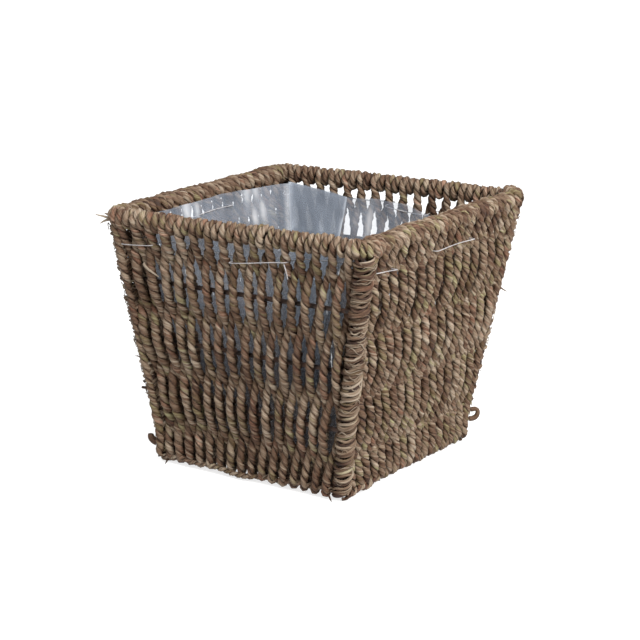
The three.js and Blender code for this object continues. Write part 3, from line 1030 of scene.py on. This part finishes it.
def fuzz(lines, rng):
    """Short loose ends of leaf that stand off the cords."""
    made = []
    for _ in range(FIBRE_COUNT):
        line = lines[rng.integers(len(lines))]
        at = rng.integers(4, len(line) - 4)
        heading = unit((line[at + 2] - line[at - 2])[None])[0]
        away = unit(np.cross(heading, rng.standard_normal(3))[None])[0]
        lean = unit((heading * rng.choice([-1, 1]) * rng.uniform(0.8, 2.6) + away)[None])[0]
        length = rng.uniform(2, 7) * MM
        share = np.linspace(0, 1, 6)[:, None]
        curl = unit(rng.standard_normal((1, 3))) * length * 0.3
        points = line[at] + away * CORD * 0.4 + lean * length * share + curl * share ** 2
        radius = rng.uniform(0.09, 0.22) * MM * (1 - 0.8 * share[:, 0])
        made.append(strand(points, radius, 4, 0.6, tone=rng.uniform(0.3, 0.95), hue=rng.uniform(-1, 1)))
    return made


# ---------------------------------------------------------------- the basket
def edge_cord(side, rng, **place):
    return plies(*edge_line(side, rng, **place), rng, EDGE_CORD, EDGE_LAY)


def corner_cord(side, rng, **place):
    return plies(*corner_line(side, rng, **place), rng)


def front_rope(line, reference, rng):
    """The front's cord, the thin cord along its bottom edge, and a cord over the front left wrap."""
    shells = plies(line, reference, rng, front_thickness, SIDE_LAY[0])
    shells += edge_cord(0, rng, length=2 * BOTTOM_HALF - 1 * MM, lump=0, tuck=2.8 * MM)
    return shells + corner_cord(0, rng, end=-1, inside=2.2 * MM, out=4.9 * MM, flare=3.0 * MM)


def right_rope(line, reference, rng):
    """The right side's cord, a cord over the back right wrap, and a thin one at the front's bottom corner."""
    shells = plies(line, reference, rng, SIDE_CORD[1], SIDE_LAY[1])
    shells += corner_cord(1, rng, end=1, inside=3.0 * MM, out=3.6 * MM, flare=3.2 * MM)
    return shells + edge_cord(1, rng, length=40 * MM, lump=3.5 * MM, tuck=0)


def back_rope(line, reference, rng):
    return plies(line, reference, rng, back_thickness, SIDE_LAY[2])


def left_rope(line, reference, rng):
    return plies(line, reference, rng, SIDE_CORD[3], SIDE_LAY[3])


def add_sides(material):
    """The four sides' cords. Returns points along them for the loose fibres."""
    lines = []
    for side, make in enumerate((front_rope, right_rope, back_rope, left_rope)):
        rng = np.random.default_rng(SIDE_SEED + side)
        line, reference = side_line(side, rng)
        lines.append(respaced(3 * MM, line)[0])
        name = SIDES[side]
        shells = make(line, reference, rng)
        add_piece(mesh_of(f"rope_{name}", shells), "seagrass", material, f"cord_{name}")
    return lines


def add_wraps(material):
    """The corner wraps, with the ends of the cords laid down inside each corner."""
    for corner, name in enumerate(CORNERS):
        rng = np.random.default_rng(WRAP_SEED + corner)
        shells = wrap_strands(corner, rng)
        for inward in CORNER_TAILS:
            shells += plies(*tail_line(corner, inward, rng), rng)
        add_piece(mesh_of(f"corner_wrap_{name}", shells), "seagrass", material, f"wrap_{name}")


def add_base(material):
    rng = np.random.default_rng(BASE_SEED)
    add_piece(mesh_of("rope_base", plies(*base_line(rng), rng)), "seagrass", material, "cord_base")


def add_liner():
    liner = liner_piece(np.random.default_rng(FILM_SEED), film("clear_film"))
    thread_piece(nylon("nylon"))


def add_fibres(lines, material):
    rng = np.random.default_rng(FIBRE_SEED)
    fibres = fuzz(lines, rng) + stray_blades()
    for corner in range(4):
        fibres += wrap_frays(corner, rng)
    add_piece(mesh_of("loose_fibres", fibres), "seagrass", material)


# ---------------------------------------------------------------- floor, light and camera
def add_floor():
    corners = [(-1, -1, 0), (1, -1, 0), (1, 1, 0), (-1, 1, 0)]
    mesh = bpy.data.meshes.new("floor")
    mesh.from_pydata([Vector(corner) * FLOOR_HALF for corner in corners], [], [(0, 1, 2, 3)])
    n = Nodes("pale_floor")
    shade = n.noise(n.place(), 3.0, 2.0)
    colour = n.ramp(shade, [(0.0, (0.31, 0.31, 0.31)), (1.0, (0.35, 0.35, 0.35))])
    glow = {"Emission Color": (1, 1, 1, 1), "Emission Strength": FLOOR_GLOW}
    mesh.materials.append(n.finish(Base_Color=colour, Roughness=0.9, **glow))
    linked("floor", mesh)


def bearing(azimuth, elevation):
    """The direction from the basket to something at these angles, in degrees."""
    a, e = math.radians(azimuth), math.radians(elevation)
    return Vector((math.sin(a) * math.cos(e), -math.cos(a) * math.cos(e), math.sin(e)))


def add_area(name, azimuth, elevation, distance, size, watts):
    data = bpy.data.lights.new(name, "AREA")
    data.size = size
    data.energy = watts
    light = linked(name, data)
    light.location = bearing(azimuth, elevation) * distance
    light.rotation_euler = (MIDDLE - light.location).to_track_quat("-Z", "Y").to_euler()


def add_world(strength):
    world = bpy.data.worlds.new("studio")
    world.use_nodes = True
    background = world.node_tree.nodes["Background"]
    background.inputs["Color"].default_value = (1, 1, 1, 1)
    background.inputs["Strength"].default_value = strength
    bpy.context.scene.world = world


def add_camera():
    data = bpy.data.cameras.new("camera")
    data.lens = CAMERA_LENS
    data.sensor_width = 36
    data.clip_end = 50
    data.shift_y = CAMERA_SHIFT_Y
    camera = linked("camera", data)
    back = bearing(CAMERA_AZIMUTH, CAMERA_ELEVATION)
    camera.location = MIDDLE + back * CAMERA_DISTANCE
    roll = Quaternion((0, 0, 1), math.radians(CAMERA_ROLL))
    camera.rotation_euler = ((-back).to_track_quat("-Z", "Y") @ roll).to_euler()
    bpy.context.scene.camera = camera


# ---------------------------------------------------------------- everything, in place
grass = seagrass("sea_grass")
cord_lines = add_sides(grass)
add_wraps(grass)
add_base(grass)
add_wires(iron("rusty_iron"))
add_liner()
add_fibres(cord_lines, grass)
add_floor()
add_world(1.0)
add_area("key", azimuth=70, elevation=38, distance=1.6, size=0.9, watts=53)
add_area("top", azimuth=20, elevation=78, distance=1.6, size=1.2, watts=14)
add_camera()
bpy.context.scene.view_settings.view_transform = "Standard"
